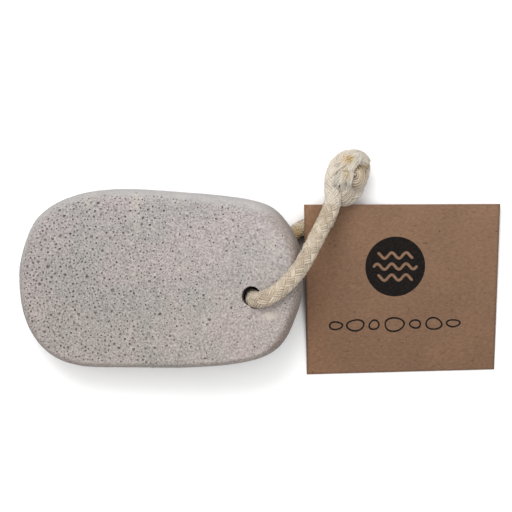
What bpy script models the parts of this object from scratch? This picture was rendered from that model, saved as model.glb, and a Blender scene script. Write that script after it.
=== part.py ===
"""A pumice stone on a loop of braided cotton rope, with a kraft card swing tag.

The stone lies on a table with the rope's lower leg under its right end, so it leans by a few degrees.
The rope comes up through the bored hole, runs over the stone's end to the knot, and goes back from the
knot through the card's hole and under the stone. Metres, +Z up, table at z = 0.
"""
import math

import bmesh
import bpy
import numpy as np
from mathutils import Matrix, Vector

MM = 0.001

# ---- driving dimensions, in millimetres ----
STONE_THICKNESS = 20.0
EDGE_INSET = 4.8          # how far the flat faces stop short of the stone's outline
EDGE_SHARES = (0.70, 0.35)  # of that inset, where the edge faces sideways, and more where it faces up
EDGE_DROP = 6.0           # how far down the sides that rounding reaches
SIDE_BELLY = 0.4          # the sides bulge by this much at half height
HOLE_DIAMETER = 7.2
ROPE_DIAMETER = 6.0
TOUCH_GAP = 0.3           # left between two pieces that touch
CARD_THICKNESS = 0.6
PIT_RADII = (0.65, 1.4)   # the larger pores, smallest and largest
PIT_COUNT = 100
PIT_SPACING = 3.4         # least distance between two of them
PIT_RAISE = 0.1           # how far a pore's centre stands off the surface, as a share of its radius
FACE_CLEAR = 6.0          # pore-free round the point where each flat face is measured

# ---- places, in millimetres ----
STONE_CENTRE = (-35.2, 1.5)     # of its outline, seen from above
STONE_REST_X = -45.83           # in the stone's own frame: the line that it leans on
REST_SLACK = 0.1                # between the stone's lower face and the rope, past the touching gap
HOLE_PLACE = (32.6, -5.9)       # in the stone's own frame
FLAT_POINT = (-22.0, 4.0)       # in the stone's own frame, on both flat faces

# The stone's outline in its own frame, anticlockwise from the right end.
STONE_OUTLINE = [
    (49.5, -4.0), (49.2, 4.7), (47.6, 13.5), (43.6, 20.4), (38.7, 25.0), (32.0, 27.4),
    (14.9, 29.6), (-3.0, 31.0), (-21.5, 31.0), (-30.4, 29.2), (-38.7, 25.4), (-43.6, 20.9),
    (-47.0, 14.2), (-49.2, 6.5), (-49.5, -1.5), (-48.6, -9.2), (-46.2, -16.6), (-42.2, -22.9),
    (-36.8, -27.3), (-29.0, -30.2), (-15.0, -31.0), (4.0, -31.0), (26.1, -29.6), (35.2, -27.5),
    (40.6, -24.4), (44.0, -20.2), (46.6, -14.6), (48.6, -9.0),
]

# The rope's route, chosen by hand: the strand that the front leg makes in the knot, the loop from the
# knot over the stone, down its hole, under it and up through the card to the knot, and the other strand.
KNOT_STRAND_A = [
    (30.6, 30.2, 9.8), (32.6, 32.4, 9.4), (34.1, 36.1, 9.2), (35.2, 40.5, 9.8), (32.1, 43.6, 11.5),
    (27.9, 42.6, 13.0), (25.3, 38.7, 14.5), (24.5, 33.7, 16.0), (24.6, 30.0, 17.0),
]
LOOP_ROUTE = [
    (24.2, 26.9, 17.6), (22.3, 22.4, 18.7), (20.0, 18.0, 20.8), (17.1, 12.5, 24.2), (12.9, 5.3, 28.4),
    (8.8, 0.5, 30.2), (4.0, -3.5, 30.4), (0.4, -5.2, 29.4), (-2.0, -5.6, 26.2), (-2.7, -5.3, 22.0),
    (-2.9, -4.8, 15.0), (-2.5, -4.0, 9.5), (-1.3, -2.9, 5.2), (0.6, 0.8, 3.2), (3.4, 5.8, 3.1),
    (7.1, 12.2, 3.1), (11.3, 17.2, 3.1), (15.0, 19.5, 3.1), (18.5, 20.0, 3.4), (21.0, 20.3, 5.3),
    (22.4, 21.3, 8.3), (23.2, 23.2, 10.9), (23.7, 25.1, 11.6), (24.2, 27.0, 11.3),
]
KNOT_STRAND_B = [
    (26.0, 29.8, 9.9), (28.5, 33.4, 6.2), (31.9, 37.4, 3.5), (34.0, 41.2, 5.2), (31.8, 43.2, 10.0),
    (29.4, 41.2, 14.5), (28.5, 37.5, 16.2), (28.5, 33.4, 15.8),
]
KNOT_CORE = ((30.4, 37.0, 10.2), (4.6, 6.0, 5.6))    # centre and half sizes of what the strands hide

# The card's underside: (x, y, z) of its corners, and how much its upper edge sags below a straight line.
CARD_CORNERS = {
    "top_left": (14.8, 27.5, 8.0), "top_right": (84.7, 27.9, 2.2),
    "bottom_left": (16.0, -32.8, 0.0), "bottom_right": (82.8, -31.0, 0.0),
}
CARD_SAG = 0.35

# ---- resolution ----
RING_POINTS = 60
HOLE_SEGMENTS = 24
ROUNDING_STEPS = 4
INNER_RINGS = (0.74, 0.46, 0.2)
ROPE_SPACING = 2.7
CARD_GRID = (9, 8)


def smooth_curve(knots, spacing, closed=False):
    """Even points, about spacing apart, on the cubic spline through the knots."""
    points = np.array(knots, dtype=float)
    if closed:
        points = np.vstack([points, points[:1]])
    step = np.linalg.norm(np.diff(points, axis=0), axis=1)
    place = np.concatenate([[0.0], np.cumsum(step)])
    slope = np.diff(points, axis=0) / step[:, None]
    last = len(points) - 1
    system = np.zeros((last + 1, last + 1))
    right = np.zeros_like(points)
    for i in range(1, last):
        system[i, i - 1:i + 2] = step[i - 1], 2 * (step[i - 1] + step[i]), step[i]
        right[i] = 6 * (slope[i] - slope[i - 1])
    if closed:
        system[0, [0, last]] = 1, -1
        system[last, [0, 1, last - 1, last]] = 2 * step[0], step[0], step[-1], 2 * step[-1]
        right[last] = 6 * (slope[0] - slope[-1])
    else:
        system[0, 0] = system[last, last] = 1
    bend = np.linalg.solve(system, right)
    sample = np.linspace(0, place[-1], 60 * last)
    k = np.clip(np.searchsorted(place, sample, side="right") - 1, 0, last - 1)
    b = (sample - place[k]) / step[k]
    a = 1 - b
    cubic = (a ** 3 - a)[:, None] * bend[k] + (b ** 3 - b)[:, None] * bend[k + 1]
    dense = a[:, None] * points[k] + b[:, None] * points[k + 1] + cubic * (step[k] ** 2)[:, None] / 6
    run = np.concatenate([[0.0], np.cumsum(np.linalg.norm(np.diff(dense, axis=0), axis=1))])
    count = max(2, round(run[-1] / spacing))
    even = np.linspace(0, run[-1], count + 1)
    if closed:
        even = even[:-1]
    return np.column_stack([np.interp(even, run, dense[:, axis]) for axis in range(points.shape[1])])


def principled(name, colour, roughness):
    """A plain Principled material; the colour is linear RGB."""
    material = bpy.data.materials.new(name)
    material.use_nodes = True
    shader = material.node_tree.nodes["Principled BSDF"]
    shader.inputs["Base Color"].default_value = (*colour, 1.0)
    shader.inputs["Roughness"].default_value = roughness
    shader.inputs["Metallic"].default_value = 0.0
    return material


def add_object(name, mesh, collection, material=None):
    """Put a mesh in the scene as a named object."""
    thing = bpy.data.objects.new(name, mesh)
    collection.objects.link(thing)
    if material:
        mesh.materials.append(material)
    return thing


def mesh_from(name, bm):
    """Turn a bmesh in millimetres into a mesh in metres with its faces pointing out."""
    bmesh.ops.recalc_face_normals(bm, faces=bm.faces[:])
    bmesh.ops.scale(bm, vec=(MM, MM, MM), verts=bm.verts[:])
    mesh = bpy.data.meshes.new(name)
    bm.to_mesh(mesh)
    bm.free()
    return mesh


def boolean(thing, cutter, operation):
    """Add an exact Boolean to the thing and mark the other object as its cutter."""
    modifier = thing.modifiers.new(f"{operation.lower()} {cutter.name}", "BOOLEAN")
    modifier.operation = operation
    modifier.solver = "EXACT"
    modifier.object = cutter
    cutter.hide_render = True
    cutter.display_type = "WIRE"


def rope_tube(name, route, radius, collection, material=None):
    """A round tube along a route in millimetres: a POLY curve with a bevel, made a closed mesh."""
    curve = bpy.data.curves.new(name, "CURVE")
    curve.dimensions = "3D"
    curve.bevel_depth = radius * MM
    curve.bevel_resolution = 2
    curve.use_fill_caps = True
    spline = curve.splines.new("POLY")
    spline.points.add(len(route) - 1)
    for point, place in zip(spline.points, route):
        point.co = (*[value * MM for value in place], 1.0)
    guide = bpy.data.objects.new(name + "_curve", curve)
    collection.objects.link(guide)
    evaluated = guide.evaluated_get(bpy.context.evaluated_depsgraph_get())
    mesh = bpy.data.meshes.new_from_object(evaluated)
    bpy.data.objects.remove(guide)
    mesh.name = name
    bm = bmesh.new()
    bm.from_mesh(mesh)
    bmesh.ops.remove_doubles(bm, verts=bm.verts[:], dist=0.00001)
    bmesh.ops.recalc_face_normals(bm, faces=bm.faces[:])
    bm.to_mesh(mesh)
    bm.free()
    return add_object(name, mesh, collection, material)


# ---- the stone ----

def stone_matrix():
    """From the stone's own frame to the table's: it leans up to the right on the rope under its end."""
    lever = HOLE_PLACE[0] - STONE_REST_X
    tilt = math.asin((ROPE_DIAMETER + TOUCH_GAP + REST_SLACK) / lever)
    rest_x = STONE_CENTRE[0] + STONE_REST_X * math.cos(tilt) + STONE_THICKNESS / 2 * math.sin(tilt)
    place = Matrix.Translation((rest_x * MM, STONE_CENTRE[1] * MM, 0))
    return place @ Matrix.Rotation(-tilt, 4, "Y") @ Matrix.Translation((-STONE_REST_X * MM, 0, 0))


def inset_ring(outline, inset):
    """The outline moved inwards by a distance, which is less where the edge faces down the part."""
    along = np.roll(outline, -1, axis=0) - np.roll(outline, 1, axis=0)
    along /= np.linalg.norm(along, axis=1)[:, None]
    inwards = np.column_stack([-along[:, 1], along[:, 0]])
    edge = EDGE_INSET * (EDGE_SHARES[0] - EDGE_SHARES[1] * inwards[:, 1])
    share = (SIDE_BELLY + edge) / (SIDE_BELLY + EDGE_INSET)
    return outline + inwards * (inset * share)[:, None]


def stone_levels():
    """(full inset, height) of the rings from the lower flat face's edge to the upper one's."""
    upper = [(SIDE_BELLY, STONE_THICKNESS - EDGE_DROP)]
    for i in range(1, ROUNDING_STEPS + 1):
        angle = math.pi / 2 * i / ROUNDING_STEPS
        inset = SIDE_BELLY + EDGE_INSET * (1 - math.cos(angle))
        upper.append((inset, STONE_THICKNESS - EDGE_DROP * (1 - math.sin(angle))))
    lower = [(inset, STONE_THICKNESS - height) for inset, height in reversed(upper)]
    return lower + [(0.0, STONE_THICKNESS / 2)] + upper


def build_bar():
    """The ground bar without its hole and pores: rings lofted between the two flat faces."""
    rough = smooth_curve(STONE_OUTLINE, 1.0, closed=True)
    girth = np.linalg.norm(rough - np.roll(rough, 1, axis=0), axis=1).sum()
    outline = smooth_curve(STONE_OUTLINE, girth / RING_POINTS, closed=True)
    rings = [(inset_ring(outline, inset), height) for inset, height in stone_levels()]
    below = [(rings[0][0] * share, 0.0) for share in reversed(INNER_RINGS)]
    above = [(rings[-1][0] * share, STONE_THICKNESS) for share in INNER_RINGS]
    bm = bmesh.new()
    loops = [[bm.verts.new((x, y, height)) for x, y in ring] for ring, height in below + rings + above]
    for first, second in zip(loops, loops[1:]):
        for i in range(len(first)):
            j = (i + 1) % len(first)
            bm.faces.new((first[i], first[j], second[j], second[i]))
    bm.faces.new(reversed(loops[0]))
    bm.faces.new(loops[-1])
    bm.normal_update()
    return bm


def pore_places(bar):
    """Seeded (place, normal, radius) over the bar, apart from each other, the hole and the flat point."""
    rng = np.random.default_rng(7)
    bm = bar.copy()
    bmesh.ops.triangulate(bm, faces=bm.faces[:])
    corners = [[np.array(vert.co) for vert in face.verts] for face in bm.faces]
    normals = [Vector(face.normal) for face in bm.faces]
    areas = np.array([face.calc_area() for face in bm.faces])
    bm.free()
    clear = [(HOLE_PLACE, HOLE_DIAMETER / 2 + 3.5), (FLAT_POINT, FACE_CLEAR)]
    places = []
    while len(places) < PIT_COUNT:
        face = rng.choice(len(areas), p=areas / areas.sum())
        u, v = rng.random(2)
        if u + v > 1:
            u, v = 1 - u, 1 - v
        a, b, c = corners[face]
        place = a + u * (b - a) + v * (c - a)
        radius = PIT_RADII[0] + (PIT_RADII[1] - PIT_RADII[0]) * rng.random() ** 2
        near_clear = any(math.dist(place[:2], centre) < reach for centre, reach in clear)
        near_pore = any(math.dist(place, other) < PIT_SPACING for other, _, _ in places)
        if not near_clear and not near_pore:
            places.append((place, normals[face], radius))
    return places


def build_stone(parts, cutters, rope_space, material):
    """The pumice bar less its pores, its bored hole and the groove that the rope has worn at its rims."""
    bar = build_bar()
    pores = bmesh.new()
    for place, normal, radius in pore_places(bar):
        spin = Matrix.Rotation(place[0] * 3.7 + place[1], 4, normal)
        where = Matrix.Translation(Vector(place) + normal * radius * PIT_RAISE) @ spin
        bmesh.ops.create_icosphere(pores, subdivisions=1, radius=radius, matrix=where)
    stone = add_object("pumice_stone", mesh_from("pumice_stone", bar), parts, material)
    pore_cutter = add_object("pore_cutter", mesh_from("pore_cutter", pores), cutters)

    bore = bmesh.new()
    middle = Matrix.Translation((*HOLE_PLACE, STONE_THICKNESS / 2))
    bmesh.ops.create_cone(bore, cap_ends=True, segments=HOLE_SEGMENTS, radius1=HOLE_DIAMETER / 2,
                          radius2=HOLE_DIAMETER / 2, depth=STONE_THICKNESS * 2, matrix=middle)
    hole_cutter = add_object("hole_cutter", mesh_from("hole_cutter", bore), cutters)

    for thing in (stone, pore_cutter, hole_cutter):
        thing.matrix_world = stone_matrix()
    for cutter in (pore_cutter, hole_cutter, rope_space):
        boolean(stone, cutter, "DIFFERENCE")


# ---- the rope ----

def rope_runs():
    """The three runs of the one rope, cut where the loop meets the knot with half a gap at each end."""
    fine = TOUCH_GAP / 6
    whole = smooth_curve(KNOT_STRAND_A + LOOP_ROUTE + KNOT_STRAND_B, fine)
    joins = [int(np.argmin(np.linalg.norm(whole - end, axis=1))) for end in (LOOP_ROUTE[0], LOOP_ROUTE[-1])]
    half_gap = round(TOUCH_GAP / 2 / fine)
    ends = [(0, joins[0] - half_gap), (joins[0] + half_gap, joins[1] - half_gap),
            (joins[1] + half_gap, len(whole) - 1)]
    runs = []
    for first, last in ends:
        count = round((last - first) * fine / ROPE_SPACING) + 1
        picks = np.linspace(first, last, count).round().astype(int)
        square_ends = [first, first + 2 * half_gap], [last - 2 * half_gap, last]
        runs.append(whole[np.concatenate([square_ends[0], picks[1:-1], square_ends[1]])])
    return runs


def build_knot(strands, parts, cutters, material):
    """The knot's outer form: its two strands and the core that they hide, joined in one solid."""
    radius = ROPE_DIAMETER / 2
    knot = rope_tube("rope_knot", strands[0], radius, parts, material)
    second = rope_tube("second_strand", strands[1], radius, cutters)
    centre, half_sizes = KNOT_CORE
    bm = bmesh.new()
    shape = Matrix.Translation(centre) @ Matrix.Diagonal((*half_sizes, 1.0))
    bmesh.ops.create_icosphere(bm, subdivisions=2, radius=1.0, matrix=shape)
    core = add_object("knot_core", mesh_from("knot_core", bm), cutters)
    for piece in (core, second):
        boolean(knot, piece, "UNION")


# ---- the card ----

def card_point(s, t):
    """A point of the card's underside: s runs from left to right, t from the upper edge to the lower."""
    corner = {name: np.array(place) for name, place in CARD_CORNERS.items()}
    upper = (1 - s) * corner["top_left"] + s * corner["top_right"]
    lower = (1 - s) * corner["bottom_left"] + s * corner["bottom_right"]
    sag = CARD_SAG * math.sin(math.pi * s) * (1 - t)
    return (1 - t) * upper + t * lower - np.array([0.0, 0.0, sag])


def build_card(parts, rope_space, material):
    """The swing tag: one thin sheet, lifted at its upper left by the rope that comes up through it."""
    columns, rows = CARD_GRID
    bm = bmesh.new()
    grid = [[bm.verts.new(card_point(i / columns, j / rows)) for i in range(columns + 1)]
            for j in range(rows + 1)]
    for upper, lower in zip(grid, grid[1:]):
        for i in range(columns):
            bm.faces.new((upper[i], lower[i], lower[i + 1], upper[i + 1]))
    bmesh.ops.recalc_face_normals(bm, faces=bm.faces[:])
    card = add_object("card_tag", mesh_from("card_tag", bm), parts, material)
    if card.data.polygons[0].normal.z < 0:
        card.data.flip_normals()
    thickness = card.modifiers.new("card thickness", "SOLIDIFY")
    thickness.thickness = CARD_THICKNESS * MM
    thickness.offset = 1.0
    boolean(card, rope_space, "DIFFERENCE")


def main():
    for thing in list(bpy.data.objects):
        bpy.data.objects.remove(thing)
    parts = bpy.data.collections.new("pumice_stone_on_rope")
    cutters = bpy.data.collections.new("cutters")
    for collection in (parts, cutters):
        bpy.context.scene.collection.children.link(collection)

    pumice = principled("pumice", (0.43, 0.39, 0.36), 0.95)
    cotton = principled("cotton", (0.56, 0.48, 0.38), 0.9)
    kraft = principled("kraft card", (0.25, 0.15, 0.09), 0.85)

    strand_a, loop, strand_b = rope_runs()
    rope_tube("rope_loop", loop, ROPE_DIAMETER / 2, parts, cotton)
    rope_space = rope_tube("rope_space", loop, ROPE_DIAMETER / 2 + TOUCH_GAP, cutters)
    build_knot((strand_a, strand_b), parts, cutters, cotton)
    build_stone(parts, cutters, rope_space, pumice)
    build_card(parts, rope_space, kraft)


main()
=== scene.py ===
"""The looks of a pumice stone on a knotted loop of braided cotton, with a kraft card swing tag.

Shapes are worked out in millimetres, in the part's own frame: table at z = 0, +X from the stone to the
card. Each visible piece replaces the solid of its form and rides on the part's one body.
"""
import math
from functools import partial
from itertools import product

import bmesh
import bpy
import numpy as np
from mathutils import Matrix, Vector
from mathutils.geometry import delaunay_2d_cdt
from mathutils.kdtree import KDTree


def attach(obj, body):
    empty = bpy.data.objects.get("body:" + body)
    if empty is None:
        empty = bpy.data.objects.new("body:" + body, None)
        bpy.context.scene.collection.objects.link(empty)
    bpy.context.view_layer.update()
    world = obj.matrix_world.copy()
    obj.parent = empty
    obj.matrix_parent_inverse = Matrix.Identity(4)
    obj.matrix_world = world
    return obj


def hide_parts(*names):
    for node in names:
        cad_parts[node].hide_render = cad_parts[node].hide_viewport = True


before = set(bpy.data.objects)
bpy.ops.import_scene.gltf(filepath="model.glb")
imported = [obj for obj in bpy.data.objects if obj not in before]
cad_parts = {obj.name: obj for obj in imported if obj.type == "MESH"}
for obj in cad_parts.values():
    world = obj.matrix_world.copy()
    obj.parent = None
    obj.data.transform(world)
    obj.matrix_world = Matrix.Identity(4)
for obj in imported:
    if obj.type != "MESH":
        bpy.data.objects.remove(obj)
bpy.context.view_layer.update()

MM = 0.001
BODY = "root"
SHARP_EDGES = {"cotton": 70, "stone": 38, "card": 40}     # degrees from which an edge stays sharp

# ---- the part's own dimensions, in millimetres ----
STONE_THICKNESS = 20.0
EDGE_INSET = 4.8              # along the top edge; less towards the bottom
EDGE_SHARES = (0.70, 0.35)    # of that inset, for an edge that faces sideways, and more for one facing up
EDGE_DROP = 6.0
SIDE_BELLY = 0.4
ROPE_DIAMETER = 6.0
TOUCH_GAP = 0.3
REST_SLACK = 0.1
CARD_THICKNESS = 0.6
STONE_CENTRE = (-35.2, 1.5)
STONE_REST_X = -45.83
HOLE_PLACE = (32.6, -5.9)
STONE_OUTLINE = [
    (49.5, -4.0), (49.2, 4.7), (47.6, 13.5), (43.6, 20.4), (38.7, 25.0), (32.0, 27.4),
    (14.9, 29.6), (-3.0, 31.0), (-21.5, 31.0), (-30.4, 29.2), (-38.7, 25.4), (-43.6, 20.9),
    (-47.0, 14.2), (-49.2, 6.5), (-49.5, -1.5), (-48.6, -9.2), (-46.2, -16.6), (-42.2, -22.9),
    (-36.8, -27.3), (-29.0, -30.2), (-15.0, -31.0), (4.0, -31.0), (26.1, -29.6), (35.2, -27.5),
    (40.6, -24.4), (44.0, -20.2), (46.6, -14.6), (48.6, -9.0),
]
KNOT_STRAND_A = [
    (30.6, 30.2, 9.8), (32.6, 32.4, 9.4), (34.1, 36.1, 9.2), (35.2, 40.5, 9.8), (32.1, 43.6, 11.5),
    (27.9, 42.6, 13.0), (25.3, 38.7, 14.5), (24.5, 33.7, 16.0), (24.6, 30.0, 17.0),
]
LOOP_ROUTE = [
    (24.2, 26.9, 17.6), (22.3, 22.4, 18.7), (20.0, 18.0, 20.8), (17.1, 12.5, 24.2), (12.9, 5.3, 28.4),
    (8.8, 0.5, 30.2), (4.0, -3.5, 30.4), (0.4, -5.2, 29.4), (-2.0, -5.6, 26.2), (-2.7, -5.3, 22.0),
    (-2.9, -4.8, 15.0), (-2.5, -4.0, 9.5), (-1.3, -2.9, 5.2), (0.6, 0.8, 3.2), (3.4, 5.8, 3.1),
    (7.1, 12.2, 3.1), (11.3, 17.2, 3.1), (15.0, 19.5, 3.1), (18.5, 20.0, 3.4), (21.0, 20.3, 5.3),
    (22.4, 21.3, 8.3), (23.2, 23.2, 10.9), (23.7, 25.1, 11.6), (24.2, 27.0, 11.3),
]
KNOT_STRAND_B = [
    (26.0, 29.8, 9.9), (28.5, 33.4, 6.2), (31.9, 37.4, 3.5), (34.0, 41.2, 5.2), (31.8, 43.2, 10.0),
    (29.4, 41.2, 14.5), (28.5, 37.5, 16.2), (28.5, 33.4, 15.8),
]
CARD_CORNERS = {
    "top_left": (14.8, 27.5, 8.0), "top_right": (84.7, 27.9, 2.2),
    "bottom_left": (16.0, -32.8, 0.0), "bottom_right": (82.8, -31.0, 0.0),
}
CARD_SAG = 0.35

# ---- camera and studio ----
CAMERA_PLACE = (-2.1, 9.4, 620.0)
VIEW_WIDTH = 179.2            # what the camera sees from side to side, at the next height
VIEW_HEIGHT = 12.0
SENSOR_WIDTH = 36.0


# ==== small helpers ====

COLOUR_MIX = {"data_type": "RGBA"}
COLOUR_TIMES = {"data_type": "RGBA", "blend_type": "MULTIPLY"}
SCALE_AND_ADD = {"operation": "MULTIPLY_ADD"}


def linear(hex_colour):
    """An sRGB hex colour as linear RGBA."""
    channels = [int(hex_colour[i:i + 2], 16) / 255 for i in (1, 3, 5)]
    return (*[c / 12.92 if c <= 0.04045 else ((c + 0.055) / 1.055) ** 2.4 for c in channels], 1.0)


def plug(node, **inputs):
    """Set or link a node's inputs; a key names a socket, or its number after an underscore.

    An input takes a plain value, a hex colour, a socket, or a node for that node's first open socket.
    """
    for key, value in inputs.items():
        socket = node.inputs[int(key[1:]) if key[0] == "_" else key.replace("_", " ")]
        if isinstance(value, bpy.types.Node):
            value = next(output for output in value.outputs if output.enabled)
        if isinstance(value, bpy.types.NodeSocket):
            node.id_data.links.new(value, socket)
        else:
            socket.default_value = linear(value) if isinstance(value, str) else value


def add_node(tree, kind, settings=None, **inputs):
    """Add a node, set its properties, and set or link its inputs."""
    node = tree.nodes.new("ShaderNode" + kind)
    for key, value in (settings or {}).items():
        setattr(node, key, value)
    plug(node, **inputs)
    return node


def new_material(name, *values):
    """A Principled material, add_node for its tree, its shader, and its place and values as sockets."""
    material = bpy.data.materials.new(name)
    material.use_nodes = True
    add = partial(add_node, material.node_tree)
    sockets = [add("TexCoord").outputs["Object"]]
    sockets += [add("Attribute", {"attribute_name": key}).outputs["Fac"] for key in values]
    return material, add, material.node_tree.nodes["Principled BSDF"], *sockets


def run_along(points):
    """The distance along a line to each of its points."""
    return np.concatenate([[0.0], np.cumsum(np.linalg.norm(np.diff(points, axis=0), axis=1))])


def resample(points, count):
    """The line through the points as evenly spaced points."""
    run = run_along(points)
    even = np.linspace(0, run[-1], count)
    return np.column_stack([np.interp(even, run, points[:, axis]) for axis in range(points.shape[1])])


def smooth_curve(knots, spacing, closed=False):
    """Even points, about spacing apart, on the cubic spline through the knots."""
    points = np.array(knots, dtype=float)
    if closed:
        points = np.vstack([points, points[:1]])
    place = run_along(points)
    step = np.linalg.norm(np.diff(points, axis=0), axis=1)
    slope = np.diff(points, axis=0) / step[:, None]
    last = len(points) - 1
    system = np.zeros((last + 1, last + 1))
    right = np.zeros_like(points)
    for i in range(1, last):
        system[i, i - 1:i + 2] = step[i - 1], 2 * (step[i - 1] + step[i]), step[i]
        right[i] = 6 * (slope[i] - slope[i - 1])
    if closed:
        system[0, [0, last]] = 1, -1
        system[last, [0, 1, last - 1, last]] = 2 * step[0], step[0], step[-1], 2 * step[-1]
        right[last] = 6 * (slope[0] - slope[-1])
    else:
        system[0, 0] = system[last, last] = 1
    bend = np.linalg.solve(system, right)
    sample = np.linspace(0, place[-1], 60 * last)
    k = np.clip(np.searchsorted(place, sample, side="right") - 1, 0, last - 1)
    b = (sample - place[k]) / step[k]
    a = 1 - b
    cubic = (a ** 3 - a)[:, None] * bend[k] + (b ** 3 - b)[:, None] * bend[k + 1]
    dense = a[:, None] * points[k] + b[:, None] * points[k + 1] + cubic * (step[k] ** 2)[:, None] / 6
    even = resample(dense, max(2, round(run_along(dense)[-1] / spacing)) + 1)
    return even[:-1] if closed else even


def circle(count):
    """Evenly spaced points on a circle of radius one."""
    turn = np.arange(count) * 2 * math.pi / count
    return np.column_stack([np.cos(turn), np.sin(turn)])


def ring_edges(start, count):
    """The edges round a closed ring of points whose numbers begin at start."""
    return [(start + i, start + (i + 1) % count) for i in range(count)]


def search_tree(points):
    """A tree that finds the nearest of points in the plane or in space."""
    tree = KDTree(len(points))
    for index, point in enumerate(points):
        tree.insert((*point, 0.0)[:3], index)
    tree.balance()
    return tree


def triangulate(points, edges):
    """Triangles between points in the plane that keep the given edges, as Blender's own lists."""
    return delaunay_2d_cdt([Vector(point) for point in points], edges, [], 0, 1e-6, True)


def unit(vectors):
    """Vectors of length one, row by row."""
    return vectors / np.maximum(np.linalg.norm(vectors, axis=-1, keepdims=True), 1e-12)


def ramp(values, start, length):
    """Rises from 0 at start to 1 over a length, and stays level on both sides."""
    return np.clip((values - start) / length, 0, 1)


WAVES_PER_OCTAVE = 7
FINER_SHARE = 0.55            # of an octave's strength that the next one has


def ripple(points, wavelength, seed):
    """Smooth pseudo-random values, about -1 to 1, from a sum of plane waves in seeded directions."""
    rng = np.random.default_rng(seed)
    total = np.zeros(len(points))
    weight = 0.0
    for octave in range(3):
        share = FINER_SHARE ** octave
        for _ in range(WAVES_PER_OCTAVE):
            direction = unit(rng.normal(size=3))
            turn = 2 * math.pi / wavelength * 2 ** octave * rng.uniform(0.7, 1.35)
            total += share * np.sin(points @ direction * turn + rng.uniform(0, 2 * math.pi))
        weight += share * WAVES_PER_OCTAVE ** 0.5
    return total / weight


def drift(points, level, ripples):
    """Values that add ripples, each (strength, wavelength, seed), to a level."""
    return sum((strength * ripple(points, *wave) for strength, *wave in ripples), level)


def seen(name, data):
    """A new object in the scene that shows the given data."""
    holder = bpy.data.objects.new(name, data)
    bpy.context.scene.collection.objects.link(holder)
    return holder


def make_piece(name, points, faces, materials, sharp_degrees, values, face_slots=None):
    """A smooth mesh object from points in millimetres and faces; values become named attributes."""
    mesh = bpy.data.meshes.new(name)
    mesh.from_pydata((np.asarray(points) * MM).tolist(), [], [list(map(int, face)) for face in faces])
    for material in materials:
        mesh.materials.append(material)
    if face_slots is not None:
        mesh.polygons.foreach_set("material_index", np.asarray(face_slots, dtype=np.int32))
    for key, numbers in values.items():
        attribute = mesh.attributes.new(key, "FLOAT", "POINT")
        attribute.data.foreach_set("value", np.asarray(numbers, dtype=np.float32))
    mesh.validate()
    mesh.update()
    mesh.shade_smooth()
    mesh.set_sharp_from_angle(angle=math.radians(sharp_degrees))
    return seen(name, mesh)


def settle(piece, node):
    """The piece rides on the part and stands for the named solid, which is hidden."""
    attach(piece, BODY)
    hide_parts(node)


# ==== the camera, looking straight down ====

def add_camera():
    """The camera, straight above the part."""
    camera = bpy.data.cameras.new("camera")
    reach = CAMERA_PLACE[2] - VIEW_HEIGHT
    camera.sensor_width = SENSOR_WIDTH
    camera.lens = SENSOR_WIDTH * reach / VIEW_WIDTH
    holder = seen("camera", camera)
    holder.location = [value * MM for value in CAMERA_PLACE]
    bpy.context.scene.camera = holder


add_camera()


# ==== the rope: eight carriers of four cotton yarns, braided round a soft core ====

BRAID_PITCH = 19.0            # one carrier's full turn
BRAID_PHASE = 0.75
CARRIERS_EACH_WAY = 4
YARNS_PER_CARRIER = 4
YARN_HALF_WIDTH = 0.44
YARN_HALF_HEIGHT = 0.40
BRAID_WAVE = 0.42             # how far a carrier rises and dips as it passes over and under
BRAID_RADIUS = ROPE_DIAMETER / 2 - YARN_HALF_HEIGHT - BRAID_WAVE
CREST_POWER = 0.6             # under 1 it flattens the tops of that wave
YARN_SPREADS = (0.94, 1.06), (0.92, 1.06)     # of the yarns' widths and heights
YARN_SLACK = 0.035
CORE_RADIUS = 1.75
YARN_SIDES, CORE_SIDES = 7, 10
YARN_STEP = 0.5
PLAIN = {"along": 0.0, "around": 0.0}     # cotton that shows no plies

ROUTE_STEP = 0.05
KNOT_TAIL = [(27.0, 29.7, 8.9)]      # tucked under the rope that leaves the knot


def rope_line():
    """The whole rope's centreline in fine even steps, and where the loop meets the knot on it."""
    line = smooth_curve(KNOT_TAIL + KNOT_STRAND_A + LOOP_ROUTE + KNOT_STRAND_B, ROUTE_STEP)
    joins = [int(np.argmin(np.linalg.norm(line - end, axis=1))) for end in (LOOP_ROUTE[0], LOOP_ROUTE[-1])]
    return line, joins


def line_frames(line):
    """Tangent and two normals along a line, turned as little as can be from point to point."""
    tangents = unit(np.gradient(line, axis=0))
    normals = np.zeros_like(line)
    normals[0] = unit(np.cross(tangents[0], [0.0, 0.0, 1.0]))
    for i in range(1, len(line)):
        carried = normals[i - 1] - tangents[i] * (normals[i - 1] @ tangents[i])
        normals[i] = carried / np.linalg.norm(carried)
    return tangents, normals, np.cross(tangents, normals)


def tube(centres, outwards, half_width, half_height, sides):
    """Points and faces of a closed tube of oval section; outwards is its height direction."""
    tangents = unit(np.gradient(centres, axis=0))
    across = unit(np.cross(tangents, outwards))
    up = np.cross(across, tangents)
    cosine, sine = circle(sides).T
    count = len(centres)
    width, height = (np.broadcast_to(half, (count,))[:, None, None] for half in (half_width, half_height))
    rings = (centres[:, None] + across[:, None] * (cosine[None, :, None] * width)
             + up[:, None] * (sine[None, :, None] * height))
    start = (np.arange(count - 1) * sides)[:, None]
    this, following = np.arange(sides)[None], (np.arange(sides) + 1)[None] % sides
    quads = np.stack([start + this, start + following, start + sides + following, start + sides + this], -1)
    caps = [list(range(sides))[::-1], [(count - 1) * sides + i for i in range(sides)]]
    return rings.reshape(-1, 3), quads.reshape(-1, 4).tolist() + caps


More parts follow.
